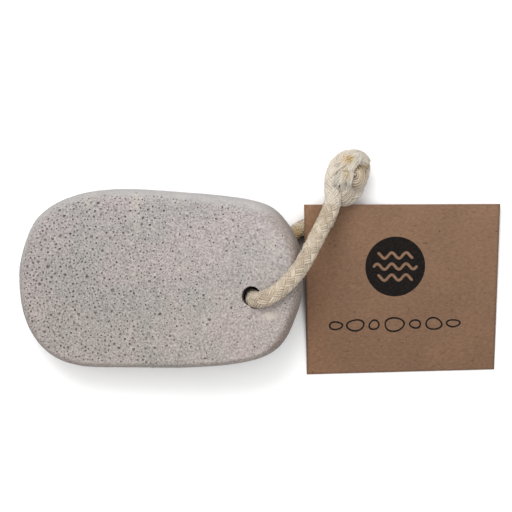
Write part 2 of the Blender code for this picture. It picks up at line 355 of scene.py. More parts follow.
def yarn_tube(centres, outwards, half_width, half_height, sides, along, dip, tone, pale):
    """One yarn as a tube, with the values its material reads: the groove is deepest on its inner side; groove
    and dip set its painted shade.
    """
    points, faces = tube(centres, outwards, half_width, half_height, sides)
    count = len(centres)
    turn = np.arange(sides) / sides
    return points, faces, {
        "along": np.repeat(along, sides), "around": np.tile(turn, count),
        "groove": np.tile(0.5 - 0.5 * np.sin(2 * math.pi * turn), count),
        "dip": np.repeat(np.broadcast_to(dip, (count,)), sides), "tone": tone, "pale": pale}


def join_tubes(tubes):
    """Several (points, faces, {name: value per point}) as one set."""
    points, faces, values = [], [], {}
    total = 0
    for part_points, part_faces, part_values in tubes:
        points.append(part_points)
        faces += [[index + total for index in face] for face in part_faces]
        for key, numbers in part_values.items():
            values.setdefault(key, []).append(np.broadcast_to(numbers, (len(part_points),)))
        total += len(part_points)
    return np.vstack(points), faces, {key: np.concatenate(numbers) for key, numbers in values.items()}


ROPE_LINE, ROPE_JOINS = rope_line()
ROPE_FRAMES = line_frames(ROPE_LINE)


def line_index(place):
    """The numbers of the rope line's points at distances along it."""
    return np.clip(np.round(place / ROUTE_STEP).astype(int), 0, len(ROPE_LINE) - 1)


def braid_point(place, way, carrier, yarn):
    """Centre, outward direction and lift of one yarn at distances along the whole rope."""
    index = line_index(place)
    turn = 2 * math.pi / BRAID_PITCH
    share = (yarn - (YARNS_PER_CARRIER - 1) / 2) / YARNS_PER_CARRIER
    along = place - ROPE_JOINS[0] * ROUTE_STEP
    angle = way * turn * along + 2 * math.pi * (carrier + share) / CARRIERS_EACH_WAY + BRAID_PHASE
    wave = np.cos(CARRIERS_EACH_WAY * turn * along + way * math.pi * share)
    wave = np.sign(wave) * np.abs(wave) ** CREST_POWER
    radius = BRAID_RADIUS + way * BRAID_WAVE * wave
    _, normal, binormal = (values[index] for values in ROPE_FRAMES)
    outwards = normal * np.cos(angle)[:, None] + binormal * np.sin(angle)[:, None]
    return ROPE_LINE[index] + outwards * radius[:, None], outwards, way * wave


def braided_tubes(first, last, seed, pale=0.0):
    """The braid's yarns and core between two distances along the rope."""
    rng = np.random.default_rng(seed)
    count = round((last - first) / YARN_STEP) + 1
    place = np.linspace(first, last, count)
    tubes = []
    for way, carrier, yarn in product((1, -1), range(CARRIERS_EACH_WAY), range(YARNS_PER_CARRIER)):
        centres, outwards, lift = braid_point(place, way, carrier, yarn)
        slack = rng.normal(0, YARN_SLACK, (count, 3))
        slack = (slack + np.roll(slack, 1, 0) + np.roll(slack, -1, 0)) / 1.8
        slack[[0, -1]] = 0
        tubes.append(yarn_tube(
            centres + slack, outwards, YARN_HALF_WIDTH * rng.uniform(*YARN_SPREADS[0]),
            YARN_HALF_HEIGHT * rng.uniform(*YARN_SPREADS[1]), YARN_SIDES, place, dip=0.5 - 0.5 * lift,
            tone=rng.uniform(0, 1), pale=pale))
    index = line_index(place)
    points, faces = tube(ROPE_LINE[index], ROPE_FRAMES[1][index], CORE_RADIUS, CORE_RADIUS, CORE_SIDES)
    tubes.append((points, faces, {**PLAIN, "groove": 1.0, "dip": 1.0, "tone": 0.3, "pale": pale}))
    return tubes


def rope_distance(points):
    """Distance and direction from the loop's centreline to each point."""
    line = ROPE_LINE[ROPE_JOINS[0]:ROPE_JOINS[1]:8]
    tree = search_tree(line)
    nearest = np.array([tree.find(point)[1] for point in points])
    away = points - line[nearest]
    distance = np.linalg.norm(away, axis=1)
    return distance, away / np.maximum(distance, 1e-9)[:, None]


# ---- materials ----

def cotton_material():
    """Undyed cotton yarn: matt, a little fuzzy at grazing angles, each yarn twisted from finer plies.

    Loose ends are paler. Painted brown shade darkens the grooves between yarns and the yarns that pass under;
    painted warm bounce light, yellow-brown stains and painted shade mark the lower leg and the knot's gaps.
    """
    material, add, shader, place, along, around, tone, groove, dip, pale, ochre, soil = new_material(
        "undyed_braided_cotton", "along", "around", "tone", "groove", "dip", "pale", "ochre", "soil")
    # Plies cross a yarn at a slant, one about every 0.9 mm of its length.
    lay = add("Math", SCALE_AND_ADD, _0=along, _1=1 / 0.9, _2=around)
    turns = add("Math", {"operation": "MULTIPLY"}, _0=lay, _1=2 * math.pi)
    ply = add("Math", {"operation": "SINE"}, _0=turns)
    fibres = add("TexNoise", Vector=place, Scale=1 / 0.0009, Detail=4.0, Roughness=0.7)
    blotch = add("TexNoise", Vector=place, Scale=1 / 0.005, Detail=2.0)
    mixed = add("Math", SCALE_AND_ADD, _0=tone, _1=0.7, _2=blotch)
    amount = add("MapRange", Value=mixed, From_Min=0.4, From_Max=1.25)
    colour = add("Mix", COLOUR_MIX, _0=amount, _6="#CBBEAC", _7="#A69783")
    # Painted shade, tinted brown: each yarn darker on its inner side and where it passes under the others.
    sunk = add("Math", SCALE_AND_ADD, _0=groove, _1=0.75, _2=dip)
    depth = add("MapRange", Value=sunk, From_Min=0.3, From_Max=1.4, To_Max=0.95)
    for share, stain_and_shade in ((pale, "#D1CBC0"), (ochre, "#B89A62"), (depth, "#7A664A"), (soil, "#5A3F2A")):
        colour = add("Mix", COLOUR_MIX, _0=share, _6=colour, _7=stain_and_shade)
    heights = add("Math", SCALE_AND_ADD, _0=ply, _1=0.35, _2=fibres)
    bump = add("Bump", Strength=0.6, Distance=0.00022, Height=heights)
    plug(shader, Base_Color=colour, Normal=bump, Roughness=0.9, Specular_IOR_Level=0.25,
         Sheen_Weight=0.2, Sheen_Roughness=0.5)
    return material


cotton = cotton_material()


MARK_DRIFT = [(0.5, 0.9, 62)]             # breaks up each mark


def marks(points, spots):
    """How strongly the spots, each (place, radius, strength), mark each point."""
    total = np.zeros(len(points))
    for place, radius, strength in spots:
        away = np.linalg.norm(points - place, axis=1) / radius
        total = np.maximum(total, strength * np.exp(-away ** 2))
    return total * np.clip(drift(points, 1.0, MARK_DRIFT), 0, 1.3)


# Guide lines of the loose fibres of the two frayed ends; each set is spread evenly between its own.
CAP_FIBRES = [
    [(26.3, 43.0, 11.5), (28.4, 45.6, 11.0), (31.4, 46.5, 10.5), (34.6, 46.3, 10.0), (36.9, 44.9, 9.8),
     (38.5, 42.2, 10.0)],
    [(26.9, 42.6, 14.6), (29.2, 44.8, 14.6), (32.1, 45.5, 14.2), (34.5, 45.2, 13.6), (36.5, 43.9, 12.7),
     (38.3, 42.0, 11.3)],
    [(27.8, 41.6, 16.9), (30.2, 43.2, 16.8), (32.3, 44.0, 16.4), (34.4, 43.9, 15.5), (36.3, 42.7, 14.1),
     (38.0, 41.5, 12.2)],
    [(29.0, 40.2, 17.8), (31.0, 41.6, 17.8), (32.9, 42.6, 17.1), (34.6, 42.5, 16.0), (36.2, 41.5, 14.6),
     (37.7, 40.9, 12.6)],
    [(30.8, 39.6, 17.2), (32.0, 40.6, 17.0), (33.4, 41.2, 16.2), (34.9, 41.1, 15.1), (36.2, 40.5, 13.8),
     (37.3, 39.9, 12.0)],
]
SLANT_FIBRES = [
    [(29.6, 38.3, 17.6), (30.6, 40.6, 18.3), (32.2, 43.0, 17.6), (34.0, 45.2, 15.6)],
    [(31.7, 38.2, 17.2), (32.7, 40.4, 18.0), (34.2, 42.6, 17.2), (35.8, 44.4, 15.2)],
]
CHEEK_FIBRES = [
    [(22.8, 38.6, 15.6), (24.6, 41.4, 15.9), (27.6, 43.3, 15.8), (31.2, 44.0, 15.6)],
    [(24.6, 37.4, 18.1), (26.6, 39.6, 18.4), (29.0, 41.2, 18.0), (31.8, 42.2, 17.2)],
]
LEFT_TUFT = [
    [(28.0, 39.9, 17.6), (26.4, 37.7, 18.5), (25.0, 35.6, 19.2), (23.9, 33.4, 19.5)],
    [(29.6, 39.0, 17.8), (28.2, 36.8, 18.8), (26.8, 34.4, 19.3), (25.6, 32.5, 19.4)],
]
MIDDLE_TUFT = [
    [(29.2, 39.2, 17.6), (28.2, 36.4, 18.9), (27.2, 33.5, 19.2), (26.6, 31.2, 18.9)],
    [(30.4, 38.8, 17.6), (29.2, 35.8, 18.7), (28.0, 33.0, 18.7), (27.5, 31.0, 18.3)],
]
RIGHT_TUFT = [
    [(30.4, 39.0, 17.6), (29.8, 36.0, 18.5), (29.2, 33.2, 18.0), (28.9, 31.0, 17.0)],
    [(31.8, 38.4, 17.2), (31.2, 35.6, 17.9), (30.6, 33.2, 17.2), (30.1, 31.0, 16.2)],
]
WRAP_YARNS = [
    [(32.4, 32.4, 13.6), (31.2, 29.2, 13.2), (28.9, 27.5, 13.4), (26.8, 27.7, 12.8)],
    [(31.4, 33.2, 15.0), (30.2, 30.4, 15.2), (28.4, 28.9, 15.8), (26.6, 28.7, 15.8)],
    [(30.8, 34.2, 16.4), (29.7, 32.2, 16.8), (28.3, 31.0, 17.2), (26.8, 30.6, 17.4)],
    [(30.0, 35.2, 17.0), (29.2, 33.8, 17.6), (28.1, 32.9, 17.9), (26.8, 32.6, 18.0)],
]
KNOT_MIDDLE = np.array([30.4, 37.2, 10.0])
WAD_CENTRE, WAD_HALF_SIZES = (28.9, 36.5, 13.6), (4.3, 5.0, 3.7)
WAD_DRIFT = [(0.05, 0.8, 61)]
SWIRL_CENTRE = (32.2, 37.5, 16.7)
SWIRL_REACH = (4.4, 5.3)                  # sideways and up and down
# Painted light in the cotton of the loop's lower leg and of the knot: painted warm bounce light and painted
# shade, with some yellow-brown stains and dirt in the knot; each (place, radius, how strong).
LEG_PAINTED_BOUNCE = [((12.6, 17.2, 5.4), 2.2, 0.9)]
LEG_PAINTED_SHADE = [((13.6, 15.2, 4.0), 2.5, 1.0), ((9.5, 12.5, 3.0), 3.4, 0.8)]
# Yellow-brown stains and painted warm bounce light, then dirt and painted shade in the gaps between the
# knot's loops.
OCHRE_AND_BOUNCE_MARKS = [((30.0, 43.0, 16.8), 2.0, 1.0), ((36.0, 40.4, 13.4), 1.5, 1.0),
               ((29.6, 37.2, 18.6), 1.4, 0.6), ((28.6, 38.4, 18.2), 1.0, 0.6),
               ((33.0, 40.4, 15.6), 1.5, 0.9), ((33.6, 37.6, 15.6), 3.0, 0.4)]
SOIL_AND_SHADE_MARKS = [((33.3, 38.7, 15.8), 0.7, 0.9), ((34.7, 40.2, 14.8), 0.7, 0.6),
              ((35.6, 38.9, 14.0), 1.1, 0.9), ((36.2, 37.4, 13.0), 1.0, 0.8),
              ((30.5, 42.2, 17.4), 0.7, 0.6), ((31.9, 36.6, 16.8), 1.0, 0.5),
              ((31.9, 33.3, 14.6), 1.4, 0.45), ((28.6, 34.3, 18.4), 0.9, 0.4)]


SHEET_POINTS, YARN_POINTS, FIBRE_SIDES = 26, 24, 6
SHEET_GAP, SHEET_SQUASH = 1.5, 0.85       # between layers, and of a yarn's height, in radii
SHEET_STRAY = (-0.3, 0.3)                 # sideways, in yarns
SHEET_LENGTHS = (0.86, 1.0)
SWIRL_TURNS, SWIRL_LAYERS, SWIRL_POINTS = 7, 2, 30
SWIRL_STARTS, SWIRL_ENDS = (-175, -135), (100, 160)      # in degrees round the curl
SWIRL_YARN = (0.37, 0.33)                 # half width and half height
SWIRL_FALL = 3.4                          # how far its outermost yarn lies below its middle


def yarn_sheet(guides, layers, per_layer, radius, taper, seed, pale, wander):
    """Loose yarns side by side between guide lines, in a few layers, thinning towards their far ends."""
    rng = np.random.default_rng(seed)
    lines = np.array([resample(smooth_curve(guide, 0.1), SHEET_POINTS) for guide in guides])
    tubes = []
    for layer, number in product(range(layers), range(per_layer)):
        share = np.clip((number + rng.uniform(*SHEET_STRAY)) / (per_layer - 1), 0, 1)
        index = share * (len(lines) - 1)
        first = min(int(index), len(lines) - 2)
        centres = lines[first] * (first + 1 - index) + lines[first + 1] * (index - first)
        bend = smooth_curve(rng.normal(0, wander, (5, 3)) + np.arange(5)[:, None], 0.05)
        centres = centres + resample(bend - bend.mean(1, keepdims=True), SHEET_POINTS)
        centres = centres - unit(centres - KNOT_MIDDLE) * layer * radius * SHEET_GAP
        centres = resample(centres[:int(SHEET_POINTS * rng.uniform(*SHEET_LENGTHS))], YARN_POINTS)
        thin = radius * (1 - taper * np.linspace(0, 1, YARN_POINTS) ** 2)
        tubes.append(yarn_tube(
            centres, unit(centres - KNOT_MIDDLE), thin, thin * SHEET_SQUASH, FIBRE_SIDES, run_along(centres),
            dip=rng.uniform(0, 0.5), tone=rng.uniform(0, 0.6), pale=pale * rng.uniform(0.6, 1.2)))
    return tubes


def swirl_yarns(seed):
    """The yarns of a cut end curled round it, as arcs one outside another that fall away outwards."""
    rng = np.random.default_rng(seed)
    tubes = []
    for number, layer in product(range(SWIRL_TURNS), range(SWIRL_LAYERS)):
        share = (number + 0.6) / SWIRL_TURNS
        start, end = rng.uniform(*SWIRL_STARTS), rng.uniform(*SWIRL_ENDS)
        turn = np.radians(np.linspace(start, end, SWIRL_POINTS))
        reach = share + rng.normal(0, 0.02) + 0.02 * np.sin(2 * turn + number)
        x = np.cos(turn) * reach * SWIRL_REACH[0]
        y = np.sin(turn) * reach * SWIRL_REACH[1]
        z = -SWIRL_FALL * share ** 2 - 0.5 * layer + 0.25 * np.sin(turn + number) + 0.3 * np.cos(turn)
        centres = np.array(SWIRL_CENTRE) + np.column_stack([x, y, z])
        # The curl's lower layers take more painted shade.
        tubes.append(yarn_tube(
            centres, unit(centres - KNOT_MIDDLE), *SWIRL_YARN, FIBRE_SIDES, np.arange(SWIRL_POINTS) * 0.3,
            dip=0.3 + 0.3 * layer, tone=rng.uniform(0, 0.7), pale=rng.uniform(0, 0.5)))
    return tubes


def wad():
    """Soft cotton filling that shows between the knot's loose ends."""
    bm = bmesh.new()
    bmesh.ops.create_icosphere(bm, subdivisions=4, radius=1.0)
    points = np.array([vert.co for vert in bm.verts])
    faces = [[vert.index for vert in face.verts] for face in bm.faces]
    bm.free()
    places = points * WAD_HALF_SIZES * drift(points, 1.0, WAD_DRIFT)[:, None] + WAD_CENTRE
    return places, faces, {**PLAIN, "groove": 0.6, "dip": 0.5, "tone": 0.4, "pale": 0.3}


# Guides, then layers, yarns in each, radius, taper, seed, paleness and wander.
KNOT_SHEETS = [
    (WRAP_YARNS, 2, 15, 0.34, 0.1, 46, 0.2, 0.08), (CHEEK_FIBRES, 2, 22, 0.2, 0.4, 48, 0.6, 0.16),
    (CAP_FIBRES, 2, 56, 0.21, 0.5, 41, 0.9, 0.16), (SLANT_FIBRES, 2, 14, 0.17, 0.4, 42, 1.0, 0.2),
    (LEFT_TUFT, 4, 15, 0.17, 0.6, 43, 0.9, 0.2), (MIDDLE_TUFT, 3, 10, 0.16, 0.7, 44, 0.7, 0.22),
    (RIGHT_TUFT, 3, 12, 0.16, 0.7, 45, 1.0, 0.22),
]
CUT_SHORT = 5.0               # the far strand's braid stops this far from its end, inside the curl


def build_cotton(name, node, tubes, ochre, soil):
    """One cotton piece from its tubes and the places of its marks."""
    points, faces, values = join_tubes(tubes)
    values["ochre"] = marks(points, ochre)
    values["soil"] = marks(points, soil)
    piece = make_piece(name, points, faces, [cotton], SHARP_EDGES["cotton"], values)
    settle(piece, node)
    return piece


LOOP_START, LOOP_END = (join * ROUTE_STEP for join in ROPE_JOINS)
ROPE_END = (len(ROPE_LINE) - 1) * ROUTE_STEP

# The loop, from the knot, through the stone and the card, to the knot again.
rope = build_cotton("cotton_rope_loop", "rope_loop", braided_tubes(LOOP_START, LOOP_END, 3),
                    LEG_PAINTED_BOUNCE, LEG_PAINTED_SHADE)

# The tied ends: two strands wound round each other, each ending in loose cut yarns.
knot_tubes = braided_tubes(0.0, LOOP_START, 4, 0.45) + braided_tubes(LOOP_END, ROPE_END - CUT_SHORT, 5, 0.3)
knot_tubes += [wad(), *swirl_yarns(47)]
for sheet in KNOT_SHEETS:
    knot_tubes += yarn_sheet(*sheet)
knot = build_cotton("cotton_rope_knot", "rope_knot", knot_tubes, OCHRE_AND_BOUNCE_MARKS, SOIL_AND_SHADE_MARKS)


# ==== the stone: two charts, one for each half, with every pore cut into their mesh ====

OUTLINE_POINTS = 1800
RING_POINTS = 300             # round the seam where the two halves meet
SEAM_WAVE = 1.4               # the seam wanders up and down the side, so that no bare line shows
SEAM_COUNTS = (19, 31, 43)    # waves round the stone
EDGE_POINTS, SIDE_POINTS = 60, 30
BASE_SPACING = 1.1
HOLE_ROUNDING = 0.2
BORE_SHIFT = (-0.20, 0.10)    # the drilled hole's axis lies this far off the solid's, and it is narrower
BORE_DIAMETER = 6.6
HOLE_SIDES = 56
BORE_PLACE = (HOLE_PLACE[0] + BORE_SHIFT[0], HOLE_PLACE[1] + BORE_SHIFT[1])
BORE_LIP = BORE_DIAMETER / 2 + HOLE_ROUNDING
GROOVE_RADIUS = ROPE_DIAMETER / 2 + 0.12
PRESSED_X, PRESSED_Y = (-12, 16), -12    # only points between these, and above this, can meet the rope
SCUFF = (38.5, -12.5)         # a chalky scuff below the hole
CHALK_DRIFT = [(0.5, 2.0, 15)]
BORE_DRIFT = [(0.10, 3.0, 31)]
FACE_SUNK, FACE_DRIFTS = 0.08, [(0.07, 30.0, 21), (0.04, 9.0, 22)]
RIM_SUNK = 0.05               # the most that a pore's rim lies below the face
GRAIN_SUNK, MOST_GRAIN_SUNK = (0.045, 0.04), 0.16         # middle and spread, and the most
HOLLOW, HOLLOW_REACH = 0.35, 8.0              # along the rubbed border
RUBBED_FROM = {1: 1.4, -1: 5.2}               # out past the upper and the lower flat face's border
RUBBED_FADE = 2.8
FULLY_RUBBED = 9.0                            # out past it, where the rubbing is complete

# Pores, by the half: the seed, how many are tried, and the middle radius.
PORES = {1: (101, 34000, 0.177), -1: (102, 11000, 0.20)}
PORE_SPREAD = 0.36            # of the radii's logarithm
PORE_RADII = (0.09, 0.80)
PORE_SIZE_DROP = 0.0052       # per millimetre to the right
SMALL_PORE, LARGE_PORE = 0.28, 0.5
EDGE_PORE = 0.62              # the largest past the flat face
PORE_GAP = 0.09
PORE_ROOM = 1.3               # a pore's furthest rim, in radii
PORE_SHARE = 0.56
PORE_SHARE_DROP = 0.0072      # per millimetre to the right
PORE_DRIFTS = [(0.20, 24.0, 12), (0.44, 5.0, 13)]     # strength, wavelength and seed
CELL = 1.6                    # of the grid that finds a pore's neighbours


def edge_profile():
    """Distance down the edge from one flat face's border to the other's, with reach and height."""
    angles = np.linspace(math.pi / 2, 0, EDGE_POINTS)
    side = np.linspace(1, 0, SIDE_POINTS)[1:]
    inset = np.concatenate([SIDE_BELLY + EDGE_INSET * (1 - np.cos(angles)),
                            SIDE_BELLY * (1 - np.cos(math.pi * side)) / 2])
    half = STONE_THICKNESS / 2
    height = np.concatenate([STONE_THICKNESS - EDGE_DROP * (1 - np.sin(angles)),
                             half + (half - EDGE_DROP) * side])
    reach = inset[0] - inset
    reach = np.concatenate([reach, reach[-2::-1]])
    height = np.concatenate([height, STONE_THICKNESS - height[-2::-1]])
    along = np.concatenate([[0.0], np.cumsum(np.hypot(np.diff(reach), np.diff(height)))])
    return along, reach, height


PROFILE_ALONG, PROFILE_REACH, PROFILE_HEIGHT = edge_profile()
HALF_EDGE = PROFILE_ALONG[-1] / 2


def turned_out(line):
    """The outward directions along a closed line in the plane."""
    along = unit(np.roll(line, -1, axis=0) - np.roll(line, 1, axis=0))
    return np.column_stack([along[:, 1], -along[:, 0]])


def stone_lines():
    """The flat face's border, its outward directions, a wavy offset for the seam, and the edge's width."""
    rough = smooth_curve(STONE_OUTLINE, 0.5, closed=True)
    girth = np.linalg.norm(rough - np.roll(rough, 1, axis=0), axis=1).sum()
    outline = smooth_curve(STONE_OUTLINE, girth / OUTLINE_POINTS, closed=True)
    outwards = turned_out(outline)
    inset = SIDE_BELLY + EDGE_INSET * (EDGE_SHARES[0] + EDGE_SHARES[1] * outwards[:, 1])
    border = outline - outwards * inset[:, None]
    turn = 2 * math.pi * np.arange(len(outline)) / len(outline)
    wave = sum(np.sin(turn * count + count) / len(SEAM_COUNTS) for count in SEAM_COUNTS)
    return border, turned_out(border), wave * SEAM_WAVE, inset / (SIDE_BELLY + EDGE_INSET)


BORDER, OUTWARDS, SEAM, WIDTH = stone_lines()
BORDER_TREE = search_tree(BORDER)


def chart_depth(chart):
    """For chart points: the nearest place on the flat face's border and the distance out past it."""
    nearest = np.array([BORDER_TREE.find((x, y, 0.0))[1] for x, y in chart])
    return nearest, np.einsum("ij,ij->i", chart - BORDER[nearest], OUTWARDS[nearest])


def on_bar(chart, half):
    """Places and outward directions on the smooth bar for chart points of one half: 1 upper, -1 lower."""
    nearest, depth = chart_depth(chart)
    out = np.maximum(depth, 0.0)
    outwards = OUTWARDS[nearest]
    width = WIDTH[nearest]
    plan = chart + outwards * (np.interp(out, PROFILE_ALONG, PROFILE_REACH) * width - out)[:, None]
    height = np.interp(out, PROFILE_ALONG, PROFILE_HEIGHT)
    step = 0.05
    rise = (np.interp(out + step, PROFILE_ALONG, PROFILE_HEIGHT)
            - np.interp(out - step, PROFILE_ALONG, PROFILE_HEIGHT)) / (2 * step)
    run = np.sqrt(np.maximum(1 - rise ** 2, 0.0)) * width
    run = np.where(depth <= 0, 1.0, run) * np.where(out > HALF_EDGE, -1, 1)
    rise = np.where(depth <= 0, 0.0, rise)
    if half < 0:
        height = STONE_THICKNESS - height
    places = np.column_stack([plan, height])
    normals = unit(np.column_stack([outwards * -rise[:, None], run * half]))
    return places, normals, depth, nearest


def rubbed_share(nearest, depth, half):
    """How far chart points lie on the smooth rubbed edge, along the stone's far side and its left end."""
    x, y = OUTWARDS[nearest].T
    turned = ramp(y, np.where(x > 0, 0.35 * x, 0.15 * x - 0.1), 0.5)
    return ramp(depth, RUBBED_FROM[half], RUBBED_FADE) * turned


def painted_edge_shade_share(nearest, depth):
    """How much painted brown shade the edge takes at chart points: most where it faces right, a little where
    it faces down.
    """
    x, y = OUTWARDS[nearest].T
    return np.maximum(ramp(x, 0.25, 0.5), 0.10 * ramp(-y, 0.2, 0.6)) * ramp(depth, -0.5, 3.0)


def chalk_share(chart, half):
    """How chalky and pale chart points are: one scuff below the hole and faint cream patches."""
    x, y = chart.T
    spot = np.column_stack([chart, np.full(len(chart), 5.0 * half)])
    cream = 0.35 * ramp(ripple(spot, 15.0, 14), 0.55, 1.0) * ramp(y, -5, 20)
    scuff = 0.85 * np.exp(-((x - SCUFF[0]) ** 2 / 5 + (y - SCUFF[1]) ** 2 / 1.6)) * (half > 0)
    return np.clip(np.maximum(cream, scuff) * drift(spot, 1.0, CHALK_DRIFT), 0, 1)


def pore_share(chart, nearest, depth, half):
    """How thickly pores lie at chart points, 0 to 1: few on the rubbed edge, fewer at the upper right."""
    x, y = chart.T
    spot = np.column_stack([chart, np.full(len(chart), 9.0 * half)])
    share = drift(spot, PORE_SHARE - PORE_SHARE_DROP * x, PORE_DRIFTS)
    share += 0.08 * ramp(-y, 12, 10) - 0.16 * ramp(x, 12, 16) * ramp(y, -2, 8)
    share *= 1 - 0.97 * rubbed_share(nearest, depth - 0.5, half)
    if half > 0:
        share *= 1 - 0.8 * np.exp(-((x - SCUFF[0]) ** 2 / 14 + (y - SCUFF[1]) ** 2 / 8))
    from_hole = np.hypot(x - BORE_PLACE[0], y - BORE_PLACE[1])
    return np.clip(share, 0, 1) * (from_hole > BORE_LIP + 0.5)


def chart_box():
    """The lowest and highest corners that a chart can reach."""
    return BORDER.min(0) - HALF_EDGE - 1, BORDER.max(0) + HALF_EDGE + 1


def scatter_pores(half, rng, tries, middle_radius):
    """Pore centres on one chart, each with its radius: the large ones first, none touching."""
    centres = rng.uniform(*chart_box(), (tries, 2))
    radii = np.clip(middle_radius * np.exp(PORE_SPREAD * rng.normal(size=tries)), *PORE_RADII)
    radii = np.sort(radii)[::-1] * (1.06 - PORE_SIZE_DROP * centres[:, 0])
    nearest, depth = chart_depth(centres)
    limit = HALF_EDGE + half * SEAM[nearest] - radii * 1.35 - PORE_GAP
    kept = (depth < limit) & (rng.uniform(0, 1, tries) < pore_share(centres, nearest, depth, half))
    kept &= (radii < EDGE_PORE) | (depth < 0.5)
    cells, chosen = {}, []
    for i in np.flatnonzero(kept):
        x, y, reach = centres[i, 0], centres[i, 1], radii[i] * PORE_ROOM + PORE_GAP
        column, row = int(x // CELL), int(y // CELL)
        near = [j for a in range(column - 2, column + 3) for b in range(row - 2, row + 3)
                for j in cells.get((a, b), ())]
        if all((x - centres[j, 0]) ** 2 + (y - centres[j, 1]) ** 2 > (reach + radii[j] * PORE_ROOM) ** 2
               for j in near):
            cells.setdefault((column, row), []).append(i)
            chosen.append(i)
    return centres[chosen], radii[chosen]


def pore_shape(centre, radius, rng):
    """Rim points, then floor points, of one pore on the chart, with the floor's depths."""
    sides = 6 if radius < SMALL_PORE else 8 if radius < LARGE_PORE else 11
    angles = (np.arange(sides) + rng.uniform(-0.28, 0.28, sides)) * 2 * math.pi / sides
    stretch = rng.uniform(0.72, 1.0)
    lean = rng.uniform(0, math.pi)
    reach = radius * rng.uniform(0.82, 1.25, sides)
    rim = np.column_stack([np.cos(angles), np.sin(angles) * stretch]) * reach[:, None]
    turned = np.array([[math.cos(lean), -math.sin(lean)], [math.sin(lean), math.cos(lean)]])
    rim = rim @ turned.T
    deep = radius * (rng.uniform(0.9, 1.7) if radius < LARGE_PORE else rng.uniform(0.6, 1.0))
    if radius < SMALL_PORE:
        floor, depths = rim[:1] * 0 + rng.uniform(-0.2, 0.2, 2) * radius, [deep]
    else:
        inner = rim[::2] * rng.uniform(0.5, 0.72, (len(rim[::2]), 1))
        floor = np.vstack([inner, rng.uniform(-0.15, 0.15, (1, 2)) * radius])
        depths = [*(deep * rng.uniform(0.7, 0.95, len(inner))), deep]
    return centre + rim, centre + floor, depths


def base_points(half, centres, radii, rng):
    """Loose chart points that fill in between the pores."""
    low, high = chart_box()
    columns = np.arange(low[0], high[0], BASE_SPACING)
    rows = np.arange(low[1], high[1], BASE_SPACING * 0.866)
    x, y = np.meshgrid(columns, rows)
    x = x + (np.arange(len(rows)) % 2)[:, None] * BASE_SPACING / 2
    grid = np.column_stack([x.ravel(), y.ravel()])
    grid += rng.uniform(-0.3, 0.3, grid.shape) * BASE_SPACING
    nearest, depth = chart_depth(grid)
    from_hole = np.hypot(*(grid - BORE_PLACE).T)
    grid = grid[(depth < HALF_EDGE + half * SEAM[nearest] - 0.45) & (from_hole > BORE_LIP + 0.4)]
    tree = search_tree(centres)
    clear = [all(away > radii[i] * PORE_ROOM + 0.1 for _, i, away in tree.find_n((x, y, 0.0), 3))
             for x, y in grid]
    return grid[np.array(clear)]


def stone_half(half):
    """One half's points on the stone, its triangles and its points' values.

    The points begin with the seam's ring, and then the hole's.
    """
    seed, tries, middle_radius = PORES[half]
    rng = np.random.default_rng(seed)
    centres, radii = scatter_pores(half, rng, tries, middle_radius)
    ring_index = (np.arange(RING_POINTS) * len(BORDER) / RING_POINTS).astype(int)
    seam = BORDER[ring_index] + OUTWARDS[ring_index] * (HALF_EDGE + half * SEAM[ring_index])[:, None]
    total = RING_POINTS + HOLE_SIDES
    chart = [seam, circle(HOLE_SIDES) * BORE_LIP + BORE_PLACE]
    edges = ring_edges(0, RING_POINTS) + ring_edges(RING_POINTS, HOLE_SIDES)
    sunk, pore = [0.0] * total, [0.0] * total
    for centre, radius in zip(centres, radii):
        rim, floor, depths = pore_shape(centre, radius, rng)
        edges += ring_edges(total, len(rim))
        chart += [rim, floor]
        sunk += [rng.uniform(0.0, RIM_SUNK) for _ in rim] + list(depths)
        # Painted shade: how much each pore's rim and floor are darkened.
        pore += [0.1] * len(rim) + [rng.uniform(0.3, 1.0)] * len(floor)
        total += len(rim) + len(floor)
    base = base_points(half, centres, radii, rng)
    chart = np.vstack(chart + [base])
    sunk = np.concatenate([sunk, np.clip(rng.normal(*GRAIN_SUNK, len(base)), 0, MOST_GRAIN_SUNK)])
    found = triangulate(chart, edges)
    origin = [ids[0] if ids else -1 for ids in found[3]]
    faces = np.array([[origin[i] for i in face] for face in found[2]])
    if (faces < 0).any():
        raise RuntimeError("two pore rims cross")
    on_seam = (faces < RING_POINTS).all(1)
    in_hole = ((faces >= RING_POINTS) & (faces < RING_POINTS + HOLE_SIDES)).all(1)
    faces = faces[~(on_seam | in_hole)]
    places, normals, depth, nearest = on_bar(chart, half)
    # The face waves a little, and its rubbed border is hollowed.
    rubbed = rubbed_share(nearest, np.full(len(chart), FULLY_RUBBED), half) * (half > 0)
    waves = drift(places, FACE_SUNK, FACE_DRIFTS)
    inner, outer = (ramp(side * depth, -HOLLOW_REACH, HOLLOW_REACH) for side in (1, -1))
    waves += HOLLOW * rubbed * inner ** 2 * outer
    sunk = sunk + np.clip(waves, 0, 0.5)
    values = {"pore": np.concatenate([pore, np.zeros(len(base))]),
              "worn": rubbed_share(nearest, depth, half), "grime": painted_edge_shade_share(nearest, depth),
              "chalk": chalk_share(chart, half)}
    return places - normals * sunk[:, None], (faces if half > 0 else faces[:, ::-1]), values


def stone_matrix():
    """From the stone's own frame to the table's: it leans up to the right on the rope under its end."""
    lever = HOLE_PLACE[0] - STONE_REST_X
    tilt = math.asin((ROPE_DIAMETER + TOUCH_GAP + REST_SLACK) / lever)
    rest_x = STONE_CENTRE[0] + STONE_REST_X * math.cos(tilt) + STONE_THICKNESS / 2 * math.sin(tilt)
    place = Matrix.Translation((rest_x, STONE_CENTRE[1], 0))
    return place @ Matrix.Rotation(-tilt, 4, "Y") @ Matrix.Translation((-STONE_REST_X, 0, 0))


